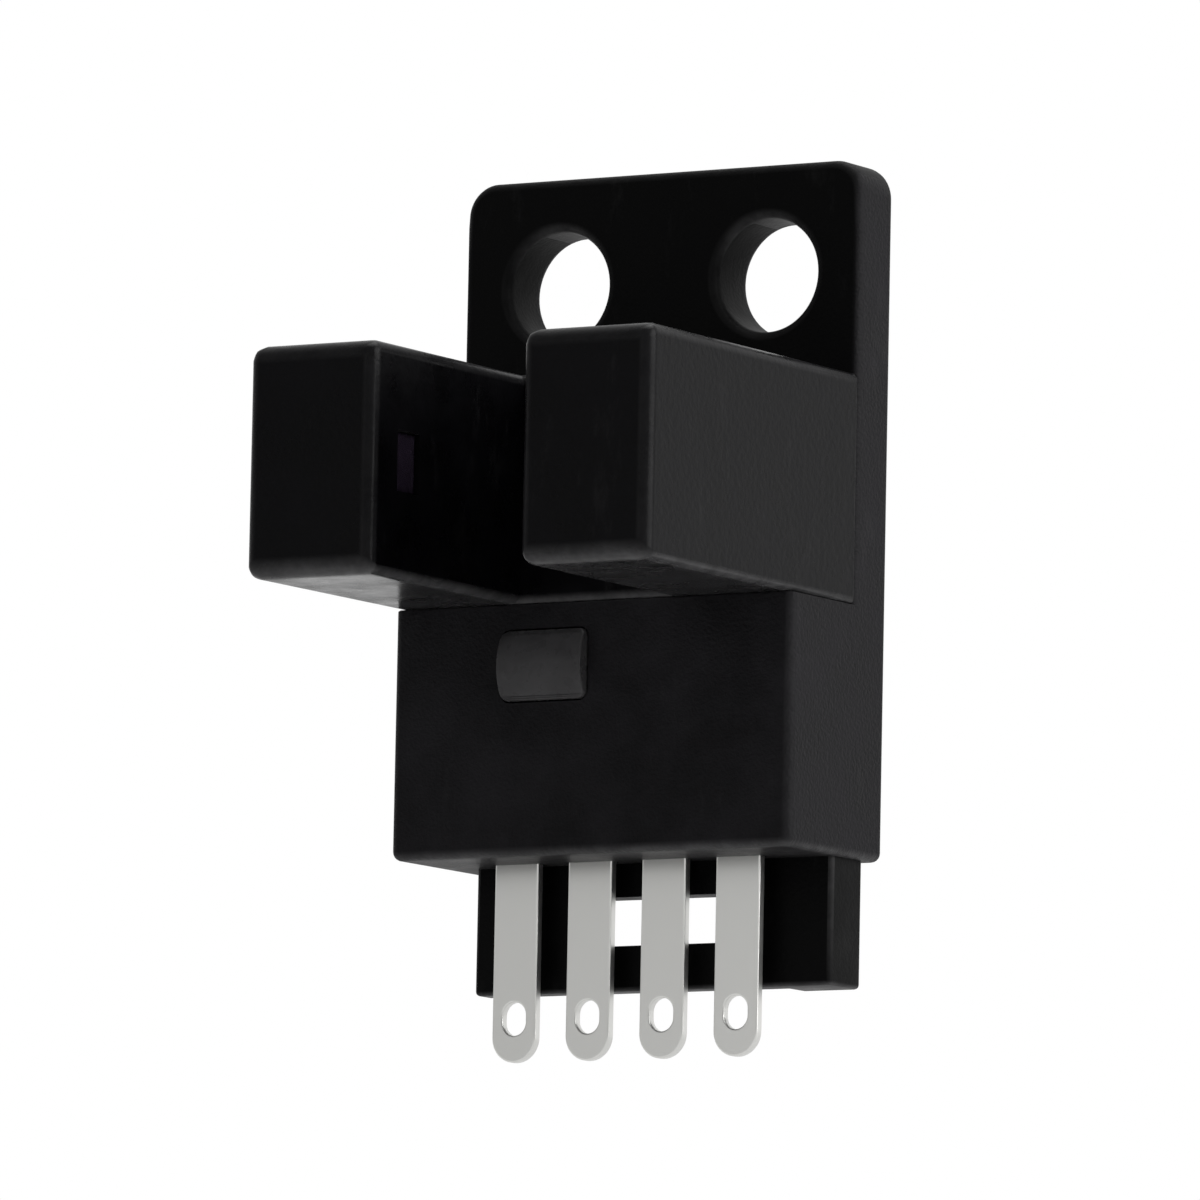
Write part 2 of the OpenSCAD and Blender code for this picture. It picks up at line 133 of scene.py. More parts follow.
class SwitchCaseSettings(bpy.types.PropertyGroup):
    """Sizes of the moulded case: plate, base and connector guide."""

    body_width: length("Body width", "Width of the plate, the base and the hood", CASE_HIGH.x - CASE_LOW.x)
    plate_top: length("Plate top", "Height of the plate's top edge above the screw holes", CASE_HIGH.z)
    plate_thickness: length("Plate thickness", "Thickness of the mounting plate", -HOOD_HIGH.y)
    plate_corner: length("Plate corner", "Radius of the plate's top corners", 1.0 * MM)
    screw_diameter: length("Screw hole", "Diameter of the screw holes", 3.4 * MM)
    screw_pitch: length("Screw pitch", "Distance between the screw holes", 7.2 * MM)
    screw_rim: length("Screw rim", "Radius of the screw holes' rims", 0.3 * MM)
    base_depth: length("Base depth", "Depth of the base from the mounting face", -CASE_LOW.y)
    base_top: length("Base top", "Level of the base's top, under the head", -10.0 * MM)
    base_bottom: length("Base bottom", "Level of the underside of the base", -17.5 * MM)
    wall: length("Wall", "Wall thickness of the base and the hood", 0.8 * MM)
    guide_front: length("Guide front", "Level of the guide's front along Y", -2.5 * MM)
    guide_web: length("Guide web", "Thickness of the guide's web", 0.9 * MM)
    guide_post_depth: length("Post depth", "Depth of the polarising post", 1.8 * MM)
    guide_post_width: length("Post width", "Width of the polarising post", 1.95 * MM)
    guide_left: length("Guide left", "Left end of the guide's web", -5.7 * MM)
    guide_right: length("Guide right", "Right end of the polarising post", 6.55 * MM)
    lock_width: length("Lock width", "Width of the window that a plug's catch locks in", 5.2 * MM)
    lock_height: length("Lock height", "Height of that window", 1.45 * MM)
    lock_drop: length("Lock drop", "Distance from the base down to that window", 1.0 * MM)
    lock_offset: length("Lock offset", "Offset of that window to the right", 1.0 * MM)
    edge_radius: length("Edge radius", "Radius of the case's free edges", 0.28 * MM)
    seam_radius: length("Seam radius", "Radius of the edges along the seam with the hood", 0.07 * MM)


class SwitchHoodSettings(bpy.types.PropertyGroup):
    """Sizes of the forked hood and its optical windows."""

    slot_width: length("Slot width", "Width of the sensing slot", 5.0 * MM)
    edge_radius: length("Edge radius", "Radius of the hood's free edges", 0.4 * MM)
    tip_radius: length("Tip radius", "Radius of the level edges at the arms' tips", 0.6 * MM)
    window_width: length("Window width", "Width of an optical window", 1.2 * MM)
    window_height: length("Window height", "Height of an optical window", 1.8 * MM)
    window_reach: length("Window reach", "Distance from the arms' tips to the optical axis", 2.0 * MM)


class SwitchFittingSettings(bpy.types.PropertyGroup):
    """Sizes of the terminals and of the indicator window."""

    terminal_count: IntProperty(
        name="Terminals", description="Number of terminals in the row", default=len(TERMINALS), min=1
    )
    terminal_pitch: length("Terminal pitch", "Distance between terminals", NEXT_BLADE_LOW.x - BLADE_LOW.x)
    blade_width: length("Blade width", "Width of a terminal's blade", 1.5 * MM)
    blade_edge: length("Blade edge", "Radius of a terminal's stamped edges", 0.05 * MM)
    eye_width: length("Eye width", "Width of the solder eye", 0.8 * MM)
    eye_length: length("Eye length", "Length of the solder eye", 1.0 * MM)
    eye_reach: length("Eye reach", "Distance from the tip to the middle of the solder eye", 1.3 * MM)
    indicator_width: length("Indicator width", "Width of the indicator window", 3.0 * MM)
    indicator_height: length("Indicator height", "Height of the indicator window", 2.2 * MM)
    indicator_corner: length("Indicator corner", "Radius of the indicator window's corners", 0.3 * MM)
    indicator_proud: length("Indicator proud", "Distance that the window's edges stand proud", 0.05 * MM)
    indicator_crown: length("Indicator crown", "Height of the indicator window's round front", 0.35 * MM)


class SwitchFinishSettings(bpy.types.PropertyGroup):
    """Colours and grain of the materials."""

    case_colour: colour("Case", "Matt black of the case", (0.0095, 0.0091, 0.0103))
    # Painted shade: a much darker black for the recessed fronts of the plate and the guide.
    recess_shade_colour: colour("Smooth case", "Black of the smooth plate and guide", (0.0007, 0.0007, 0.0008))
    hood_colour: colour("Hood", "Black of the hood", (0.0018, 0.0017, 0.0022))
    # Grey for scuffs and worn edges, also painted light from below on edges and undersides that face down.
    wear_and_underlight_colour: colour("Rubbed plastic", "Grey of the plastic along rubbed edges", (0.08, 0.079, 0.081))
    window_colour: colour("Optical windows", "Violet black of the optical windows", (0.014, 0.010, 0.017))
    indicator_colour: colour("Indicator", "Smoky grey of the indicator window", (0.041, 0.04, 0.0415))
    tin_colour: colour("Tin", "Bright tin plating of the terminals", (0.86, 0.86, 0.85))
    brass_colour: colour("Brass", "Brass that shows through the plating", (0.62, 0.5, 0.27))
    board_colour: colour("Board", "Green mask of the circuit board", (0.02, 0.13, 0.05))
    emitter_colour: colour("Emitter", "Clear blue epoxy of the emitter", (0.55, 0.58, 0.72))
    receiver_colour: colour("Receiver", "Dark epoxy of the receiver", (0.03, 0.024, 0.036))
    lamp_colour: colour("Lamp", "Red epoxy of the indicator lamp", (0.62, 0.05, 0.04))
    resistor_colour: colour("Resistors", "Black of the chip resistors", (0.02, 0.02, 0.022))
    capacitor_colour: colour("Capacitor", "Tan of the chip capacitor", (0.42, 0.3, 0.17))
    chip_colour: colour("Chips", "Black of the diode and the transistor", (0.025, 0.025, 0.026))
    end_colour: colour("Chip ends", "Tin on the ends of the chips", (0.7, 0.7, 0.69))
    chip_rub_colour: colour("Rubbed chips", "Grey of the transistor along its edges", (0.06, 0.06, 0.06))
    grain_size: length("Grain", "Size of the case's moulded grain", 0.11 * MM)
    grain_depth: length("Grain depth", "Depth of the case's moulded grain", 0.03 * MM)
    ripple_size: length("Ripple", "Size of the hood's slight ripple", 0.22 * MM)
    ripple_depth: length("Ripple depth", "Depth of the hood's slight ripple", 0.008 * MM)


class SwitchStageSettings(bpy.types.PropertyGroup):
    """Camera, lamps and floor."""

    azimuth: turned("Azimuth", "Camera's turn to the right of the front", 31.032)
    elevation: turned("Elevation", "Camera's height as an angle", -6.743)
    roll: turned("Roll", "Clockwise turn of the picture", 1.137)
    distance: length("Distance", "Distance from the camera to its target", 373.855 * MM)
    aim_depth: length("Aim depth", "Level of the camera's target along Y", -6.0 * MM)
    aim_height: length("Aim height", "Level of the camera's target along Z", -8.4 * MM)
    aim_right: length("Aim right", "Shift of the target to the right in the picture", 0.443 * MM)
    aim_up: length("Aim up", "Shift of the target upwards in the picture", -1.614 * MM)
    focal_pixels: number("Focal length", "Focal length in pixels of a 1200 pixel frame", 12676.4)
    key_level: number("Key", "Level of the lamp on the right", 0.8)
    fill_level: number("Fill", "Level of the lamp in front", 0.06)
    top_level: number("Top", "Level of the lamp above", 0.65)
    ambient_level: number("Ambient", "Level of the light from all round", 0.24)
    front_level: number("Front", "Level that reflections see in front of the object", 0.36)
    back_level: number("Back", "Level that reflections see behind the object", 1.0)
    floor_reach: length("Floor", "Distance from the floor's middle to its sides", 400.0 * MM)


def mm(value):
    """A size in millimetres, the unit that the meshes are built in."""
    return value / MM


# Meshes. They are built in millimetres and scaled to metres when a piece is finished.


def along(axis, u, v, w):
    """Point with u and v across an axis and w along it."""
    return {"x": (w, u, v), "y": (u, w, v), "z": (u, v, w)}[axis]


def prism(outline, axis, low, high):
    """Closed prism over a flat outline, as a bmesh."""
    bm = bmesh.new()
    rings = [[bm.verts.new(along(axis, u, v, w)) for u, v in outline] for w in (low, high)]
    bm.faces.new(rings[0])
    bm.faces.new(rings[1])
    for i in range(len(outline)):
        j = (i + 1) % len(outline)
        bm.faces.new((rings[0][i], rings[0][j], rings[1][j], rings[1][i]))
    bmesh.ops.recalc_face_normals(bm, faces=bm.faces)
    return bm


def box(low, high):
    """Closed box between two corners, as a bmesh."""
    outline = [(low[0], low[1]), (high[0], low[1]), (high[0], high[1]), (low[0], high[1])]
    return prism(outline, "z", low[2], high[2])


def rounded_outline(width, height, radius, steps=8):
    """Rectangle about the origin with round corners."""
    points = []
    for quarter, (x, y) in enumerate(((1, 1), (-1, 1), (-1, -1), (1, -1))):
        for step in range(steps + 1):
            angle = math.radians(90) * (quarter + step / steps)
            across = x * (width / 2 - radius) + radius * math.cos(angle)
            points.append((across, y * (height / 2 - radius) + radius * math.sin(angle)))
    return points


def shifted(outline, u, v):
    """Outline moved across its plane."""
    return [(a + u, b + v) for a, b in outline]


def screw_cutter(x, radius, rim, thickness, reach=1.0, steps=6, turns=72):
    """Cutter for a screw hole along Y with round rims; the rims carry material index 1."""
    profile = [(radius + rim, reach)]
    marks = [0]
    for step in range(steps + 1):
        angle = math.radians(90) * step / steps
        profile.append((radius + rim - rim * math.sin(angle), -(rim - rim * math.cos(angle))))
        marks.append(1)
    marks[-1] = 0
    for r, y in list(reversed(profile)):
        profile.append((r, -thickness - y))
    marks += [1] * steps + [0, 0]
    bm = bmesh.new()
    rings = []
    for r, y in profile:
        ring = []
        for turn in range(turns):
            angle = math.tau * turn / turns
            ring.append(bm.verts.new((x + r * math.cos(angle), y, r * math.sin(angle))))
        rings.append(ring)
    for k in range(len(rings) - 1):
        for i in range(turns):
            j = (i + 1) % turns
            face = bm.faces.new((rings[k][i], rings[k][j], rings[k + 1][j], rings[k + 1][i]))
            face.material_index = marks[k]
    bm.faces.new(rings[0])
    bm.faces.new(rings[-1])
    bmesh.ops.recalc_face_normals(bm, faces=bm.faces)
    return bm


def placed(name, data):
    """New object in the scene."""
    obj = bpy.data.objects.new(name, data)
    bpy.context.scene.collection.objects.link(obj)
    return obj


def evaluated(obj):
    """New mesh with an object's modifiers applied."""
    bpy.context.view_layer.update()
    graph = bpy.context.evaluated_depsgraph_get()
    return bpy.data.meshes.new_from_object(obj.evaluated_get(graph))


def scratch_object(bm, name):
    """Puts a bmesh in a working object that has room for an edge material."""
    mesh = bpy.data.meshes.new(name)
    bm.to_mesh(mesh)
    bm.free()
    work = bpy.data.materials.get("working") or bpy.data.materials.new("working")
    mesh.materials.append(work)
    mesh.materials.append(work)
    return placed(name, mesh)


def settle(obj, extras=()):
    """Applies a working object's modifiers, removes it with its helpers and returns the plain mesh."""
    mesh = evaluated(obj)
    for used in (obj, *extras):
        old = used.data
        bpy.data.objects.remove(used)
        if old.users == 0:
            (bpy.data.meshes if isinstance(old, bpy.types.Mesh) else bpy.data.curves).remove(old)
    return mesh


def mesh_copy(mesh):
    """Bmesh with a built mesh's shape; the mesh itself is removed."""
    bm = bmesh.new()
    bm.from_mesh(mesh)
    bpy.data.meshes.remove(mesh)
    return bm


def round_edges(bm, radius_of, segments=5):
    """Rounds a solid's edges; radius_of gives each edge's radius, or 0 for one that stays sharp."""
    bm.edges.ensure_lookup_table()
    layer = bm.edges.layers.float.new("bevel_weight_edge")
    radii = {edge.index: radius_of(edge) for edge in bm.edges}
    largest = max(radii.values())
    for edge in bm.edges:
        edge[layer] = radii[edge.index] / largest
    obj = scratch_object(bm, "rounding")
    bevel = obj.modifiers.new("round", "BEVEL")
    bevel.limit_method = "WEIGHT"
    bevel.width = largest
    bevel.segments = segments
    bevel.use_clamp_overlap = False
    bevel.material = 1
    return mesh_copy(settle(obj))


def free_edge(edge):
    """True on an edge that stands out and isn't nearly flat."""
    return len(edge.link_faces) == 2 and edge.is_convex and edge.calc_face_angle(0.0) > math.radians(40)


def carve(bm, steps):
    """Cuts and joins further solids; steps holds pairs of an operation and a bmesh."""
    obj = scratch_object(bm, "solid")
    tools = []
    for number, (operation, tool) in enumerate(steps):
        tools.append(scratch_object(tool, f"tool_{number}"))
        boolean = obj.modifiers.new(f"step_{number}", "BOOLEAN")
        boolean.operation = operation
        boolean.solver = "EXACT"
        boolean.object = tools[-1]
    return settle(obj, tools)


def edge_underlight(facing):
    """Painted light from below on a rounded edge, from the Z part of its normal: highest on edges that
    face down, over slight wear on every edge.
    """
    share = min(max((-0.1 - facing) / 0.75, 0.0), 1.0)
    return 0.12 + 0.88 * share * share * (3.0 - 2.0 * share)


def mark_wear_and_underlight(mesh):
    """Turns the edge material into a corner attribute of slight edge wear and painted light from below,
    highest on rounded edges that face down.

    Flat undersides get some painted light from below, and other flat faces none.
    """
    rounded = [polygon.material_index == 1 for polygon in mesh.polygons]
    level = [UNDERSIDE_PAINTED_LIGHT if polygon.normal.z < -0.95 else 0.0 for polygon in mesh.polygons]
    flat_level = {}
    for polygon, is_round in zip(mesh.polygons, rounded):
        if not is_round:
            for vertex in polygon.vertices:
                flat_level[vertex] = max(flat_level.get(vertex, 0.0), level[polygon.index])
    attribute = mesh.attributes.new(EDGE_WEAR_AND_UNDERLIGHT, "FLOAT", "CORNER")
    for polygon, is_round in zip(mesh.polygons, rounded):
        for loop in polygon.loop_indices:
            vertex = mesh.loops[loop].vertex_index
            if not is_round:
                attribute.data[loop].value = level[polygon.index]
            elif vertex in flat_level:
                attribute.data[loop].value = flat_level[vertex]
            else:
                attribute.data[loop].value = edge_underlight(mesh.vertices[vertex].normal.z)
        polygon.material_index = 0


def finish_piece(name, mesh, material, nodes, sheet=False):
    """Makes a built mesh a piece of the object, in metres and smooth, in place of its solids.

    The faces of a piece of sheet stay quite flat up to their stamped edges.
    """
    flat = [polygon.index for polygon in mesh.polygons if sheet and polygon.material_index == 0]
    mark_wear_and_underlight(mesh)
    mesh.transform(Matrix.Scale(MM, 4))
    mesh.materials.clear()
    mesh.materials.append(material)
    mesh.shade_smooth()
    mesh.set_sharp_from_angle(angle=math.radians(35))
    for index in flat:
        mesh.polygons[index].use_smooth = False
    obj = placed(name, mesh)
    weighted = obj.modifiers.new("flat faces", "WEIGHTED_NORMAL")
    weighted.keep_sharp = True
    weighted.weight = 90
    settled = evaluated(obj)
    obj.modifiers.clear()
    obj.data = settled
    bpy.data.meshes.remove(mesh)
    settled.name = name
    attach(obj, "root")
    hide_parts(*nodes)
    return obj


def dress_node(name, material):
    """Gives a solid that keeps its own shape a material."""
    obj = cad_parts[name]
    if not obj.material_slots:
        raise RuntimeError(f"{name} has no material slot")
    for material_slot in obj.material_slots:
        material_slot.link = "OBJECT"
        material_slot.material = material
    return obj


# Materials.


def node(tree, kind, inputs=None, **settings):
    """Adds a node with its settings, its input values and its links."""
    made = tree.nodes.new(kind)
    for key, value in settings.items():
        setattr(made, key, value)
    for key, value in (inputs or {}).items():
        if isinstance(value, bpy.types.NodeSocket):
            tree.links.new(value, made.inputs[key])
        else:
            made.inputs[key].default_value = value
    return made


def math_node(tree, operation, a, b=0.0):
    """Math node's result."""
    return node(tree, "ShaderNodeMath", {0: a, 1: b}, operation=operation).outputs[0]


def mapped(tree, value, from_low, from_high, to_low, to_high, smooth=False):
    """Map Range node's result."""
    made = node(
        tree,
        "ShaderNodeMapRange",
        {0: value, 1: from_low, 2: from_high, 3: to_low, 4: to_high},
        interpolation_type="SMOOTHSTEP" if smooth else "LINEAR",
    )
    return made.outputs[0]


def mixed_colour(tree, factor, a, b):
    """Colour between two colours."""
    return node(tree, "ShaderNodeMix", {0: factor, 6: a, 7: b}, data_type="RGBA").outputs[2]


def noise(tree, vector, scale, detail, roughness=0.5):
    """Noise texture's value."""
    values = {"Vector": vector, "Scale": scale, "Detail": detail, "Roughness": roughness}
    return node(tree, "ShaderNodeTexNoise", values).outputs[0]


def stretched(tree, vector, stretch):
    """Coordinates multiplied along each axis."""
    return node(tree, "ShaderNodeVectorMath", {0: vector, 1: stretch}, operation="MULTIPLY").outputs[0]


def rgba(rgb, gain=1.0):
    """Colour with alpha for a socket."""
    return (rgb[0] * gain, rgb[1] * gain, rgb[2] * gain, 1.0)


def feed(tree, receiver, links):
    """Links results to a node's inputs by name."""
    for key, value in links.items():
        tree.links.new(value, receiver.inputs[key])


def shader_group(name, inputs, fill):
    """Shader node group by name, made once; fill builds its nodes and gives its results."""
    if name in bpy.data.node_groups:
        return bpy.data.node_groups[name]
    tree = bpy.data.node_groups.new(name, "ShaderNodeTree")
    for label, default in inputs.items():
        kind = "NodeSocketVector" if default is None else "NodeSocketFloat"
        socket = tree.interface.new_socket(label, in_out="INPUT", socket_type=kind)
        if default is not None:
            socket.default_value = default
    results = fill(tree, tree.nodes.new("NodeGroupInput").outputs)
    for label in results:
        tree.interface.new_socket(label, in_out="OUTPUT", socket_type="NodeSocketFloat")
    feed(tree, tree.nodes.new("NodeGroupOutput"), results)
    return tree


def fill_grain(tree, given):
    """Grain of a moulded surface: a fine height and a broad mottle."""
    place = given["Vector"]
    fine = noise(tree, place, math_node(tree, "DIVIDE", 1.0, given["Grain size"]), 3.0, 0.55)
    broad = noise(tree, place, math_node(tree, "DIVIDE", 1.0, given["Mottle size"]), 4.0, 0.6)
    height = mapped(tree, fine, 0.3, 0.7, 0.0, 1.0)
    return {"Height": height, "Mottle": mapped(tree, broad, 0.3, 0.7, 0.0, 1.0)}


def fill_wear_and_underlight(tree, given):
    """Mask of worn edges and of painted light from below, broken up along the edges' length."""
    scale = math_node(tree, "DIVIDE", 1.0, given["Patch size"])
    patches = noise(tree, given["Vector"], scale, 5.0, 0.65)
    edge = node(tree, "ShaderNodeAttribute", attribute_name=EDGE_WEAR_AND_UNDERLIGHT).outputs["Fac"]
    broken = mapped(tree, patches, 0.3, 0.7, 0.5, 1.0, smooth=True)
    return {"Mask": math_node(tree, "MULTIPLY", edge, broken)}


def fill_scuffs(tree, given):
    """Faint scuffs: short stretched marks as a mask."""
    marks = noise(tree, stretched(tree, given["Vector"], given["Stretch"]), 1.0, 6.0, 0.7)
    return {"Mask": mapped(tree, marks, 0.56, 0.72, 0.0, 1.0, smooth=True)}


def grouped(tree, name, sockets, fill, given):
    """Outputs of a shared group, with its inputs set or linked."""
    return node(tree, "ShaderNodeGroup", given, node_tree=shader_group(name, sockets, fill)).outputs


def moulded_grain(tree, place, grain_size, mottle_size):
    """Height and mottle of a moulded surface."""
    sockets = {"Vector": None, "Grain size": 0.1 * MM, "Mottle size": 3.0 * MM}
    given = {"Vector": place, "Grain size": grain_size, "Mottle size": mottle_size}
    outputs = grouped(tree, "Moulded grain", sockets, fill_grain, given)
    return outputs["Height"], outputs["Mottle"]


def wear_and_underlight_mask(tree, place, patch_size=0.9 * MM):
    """Mask of edge wear and of painted light from below."""
    sockets = {"Vector": None, "Patch size": 0.9 * MM}
    given = {"Vector": place, "Patch size": patch_size}
    return grouped(tree, "Edge wear and underlight", sockets, fill_wear_and_underlight, given)["Mask"]


def scuffs(tree, place, stretch):
    """Mask of handling scuffs."""
    sockets = {"Vector": None, "Stretch": None}
    given = {"Vector": place, "Stretch": stretch}
    return grouped(tree, "Handling scuffs", sockets, fill_scuffs, given)["Mask"]


def new_material(name):
    """Material with a Principled BSDF, its tree and its Object coordinates."""
    material = bpy.data.materials.new(name)
    material.use_nodes = True
    tree = material.node_tree
    shader = tree.nodes["Principled BSDF"]
    place = tree.nodes.new("ShaderNodeTexCoord").outputs["Object"]
    return material, tree, shader, place


def bump(tree, shader, height, strength, distance):
    """Links a height to the shader's normal."""
    made = node(tree, "ShaderNodeBump", {"Height": height, "Strength": strength, "Distance": distance})
    feed(tree, shader, {"Normal": made.outputs[0]})


def moulded_plastic(name, body, worn_and_lit, grain, roughness, specular, smooth=None):
    """Moulded plastic with grain, mottle, faint scuffs, and worn edges lightened as painted light from
    below; with smooth, painted shade in recesses.

    grain gives the grain's size and depth.
    smooth gives a much darker colour, painted shade on the recessed fronts that lie behind a level along
    Y, where the grain is faint too, that level, and the distance along X of the outer sides, which keep
    their colour and grain as the mounting face does.
    """
    material, tree, shader, place = new_material(name)
    grain_size, grain_depth = grain
    mottle, mottle_size, scuff_share, wear_light_share = 0.4, 2.2 * MM, 0.06, 0.8
    height, cloud = moulded_grain(tree, place, grain_size, mottle_size)
    wear_light = wear_and_underlight_mask(tree, place)
    scuff = scuffs(tree, place, (900.0, 900.0, 300.0))
    base = mixed_colour(tree, cloud, rgba(body, 1.0 - mottle), rgba(body, 1.0 + mottle))
    if smooth:
        recess_shade, level, side = smooth
        # Painted shade: fronts behind the level, away from the outer sides and the mounting face, take a
        # much darker colour and fainter grain.
        parts = node(tree, "ShaderNodeSeparateXYZ", {"Vector": place})
        depth = parts.outputs["Y"]
        behind = mapped(tree, depth, level - 0.2 * MM, level + 0.2 * MM, 0.0, 1.0, smooth=True)
        across = math_node(tree, "ABSOLUTE", parts.outputs["X"])
        within = mapped(tree, across, side - 0.28 * MM, side - 0.08 * MM, 1.0, 0.0, smooth=True)
        ahead = mapped(tree, depth, -0.5 * MM, -0.25 * MM, 1.0, 0.0, smooth=True)
        # plain is the share of painted shade and of fainter grain on the recessed fronts.
        plain = math_node(tree, "MULTIPLY", math_node(tree, "MULTIPLY", behind, within), ahead)
        recess_shade_mottled = mixed_colour(tree, cloud, rgba(recess_shade, 1.0 - mottle), rgba(recess_shade, 1.0 + mottle))
        base = mixed_colour(tree, plain, base, recess_shade_mottled)
        height = math_node(tree, "MULTIPLY", height, mapped(tree, plain, 0.0, 1.0, 1.0, 0.35))
    scuffed = mixed_colour(tree, math_node(tree, "MULTIPLY", scuff, scuff_share), base, rgba(worn_and_lit))
    # Painted light from below over slight wear: the grey is strongest on edges and undersides that face
    # down.
    with_wear_and_light = mixed_colour(tree, math_node(tree, "MULTIPLY", wear_light, wear_light_share), scuffed, rgba(worn_and_lit))
    rough = mapped(tree, cloud, 0.0, 1.0, roughness - 0.09, roughness + 0.09)
    rough = math_node(tree, "SUBTRACT", rough, math_node(tree, "MULTIPLY", wear_light, 0.12))
    feed(tree, shader, {"Base Color": with_wear_and_light, "Roughness": rough})
    shader.inputs["Specular IOR Level"].default_value = specular
    bump(tree, shader, height, 0.5, grain_depth)
    return material


def tinned_metal(name, tin, brass):
    """Bright tin plating with rolling lines along Z and brass on the stamped edges."""
    material, tree, shader, place = new_material(name)
    lines = noise(tree, stretched(tree, place, (22000.0, 22000.0, 700.0)), 1.0, 4.0, 0.6)
    clouds = noise(tree, place, 900.0, 3.0)
    wear_light = wear_and_underlight_mask(tree, place, 0.4 * MM)
    cloudy = mapped(tree, clouds, 0.35, 0.65, 0.0, 1.0)
    plated = mixed_colour(tree, cloudy, rgba(tin, 0.86), rgba(tin, 1.06))
    plated = mixed_colour(tree, mapped(tree, lines, 0.3, 0.7, 0.0, 0.3), plated, rgba(tin, 0.72))
    with_wear_and_light = mixed_colour(tree, math_node(tree, "MULTIPLY", wear_light, 0.35), plated, rgba(brass))
    rough = mapped(tree, lines, 0.3, 0.7, 0.26, 0.42)
    feed(tree, shader, {"Base Color": with_wear_and_light, "Roughness": rough})
    shader.inputs["Metallic"].default_value = 1.0
    bump(tree, shader, lines, 0.25, 0.02 * MM)
    return material


def polished_plastic(name, body, roughness, coat, specular=0.5):
    """Smooth clear-coated plastic with a slight swirl from moulding."""
    material, tree, shader, place = new_material(name)
    height, cloud = moulded_grain(tree, place, 0.35 * MM, 1.1 * MM)
    swirled = mixed_colour(tree, cloud, rgba(body, 0.8), rgba(body, 1.25))
    rough = mapped(tree, height, 0.0, 1.0, roughness, roughness + 0.08)
    feed(tree, shader, {"Base Color": swirled, "Roughness": rough})
    shader.inputs["Specular IOR Level"].default_value = specular
    shader.inputs["Coat Weight"].default_value = coat
    shader.inputs["Coat Roughness"].default_value = 0.08
    bump(tree, shader, height, 0.1, 0.01 * MM)
    return material


def board_laminate(name, mask):
    """Green mask over copper tracks on a glass laminate."""
    material, tree, shader, place = new_material(name)
    weave = node(
        tree,
        "ShaderNodeTexWave",
        {"Vector": place, "Scale": 1400.0, "Distortion": 0.6, "Detail": 1.0},
        bands_direction="DIAGONAL",
    )
    tracks = node(
        tree,
        "ShaderNodeTexBrick",
        {"Vector": place, "Scale": 520.0, "Mortar Size": 0.035, "Brick Width": 0.9, "Row Height": 0.42},
    )
    copper = (mask[0] * 2.2, mask[1] * 1.5, mask[2] * 1.3)
    tracked = mixed_colour(tree, tracks.outputs["Fac"], rgba(mask), rgba(copper))
    threads = mapped(tree, weave.outputs["Fac"], 0.0, 1.0, 0.0, 0.25)
    woven = mixed_colour(tree, threads, tracked, rgba(mask, 0.6))
    rough = mapped(tree, tracks.outputs["Fac"], 0.0, 1.0, 0.38, 0.28)
    feed(tree, shader, {"Base Color": woven, "Roughness": rough})
    bump(tree, shader, tracks.outputs["Fac"], 0.3, 0.03 * MM)
    return material


def chip_with_ends(node_name, body, end, end_share=0.24):
    """Chip body with tinned ends along Z, placed on its own solid."""
    low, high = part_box(node_name)
    middle = (low + high) / 2
    half = (high.z - low.z) / 2
    material, tree, shader, place = new_material(node_name)
    centred = node(tree, "ShaderNodeMapping", {"Vector": place, "Location": -middle})
    parts = node(tree, "ShaderNodeSeparateXYZ", {"Vector": centred.outputs[0]})
    reach = math_node(tree, "ABSOLUTE", parts.outputs["Z"])
    ends = math_node(tree, "GREATER_THAN", reach, half * (1.0 - end_share))
    height, cloud = moulded_grain(tree, place, 0.08 * MM, 0.6 * MM)
    mottled = mixed_colour(tree, cloud, rgba(body, 0.75), rgba(body, 1.25))
    tipped = mixed_colour(tree, ends, mottled, rgba(end))
    rough = mapped(tree, ends, 0.0, 1.0, 0.55, 0.32)
    feed(tree, shader, {"Base Color": tipped, "Metallic": ends, "Roughness": rough})
    bump(tree, shader, height, 0.2, 0.01 * MM)
    return material


def shared_material(name, make, *values):
    """Material by name, made once."""
    return bpy.data.materials.get(name) or make(name, *values)


# Pieces.


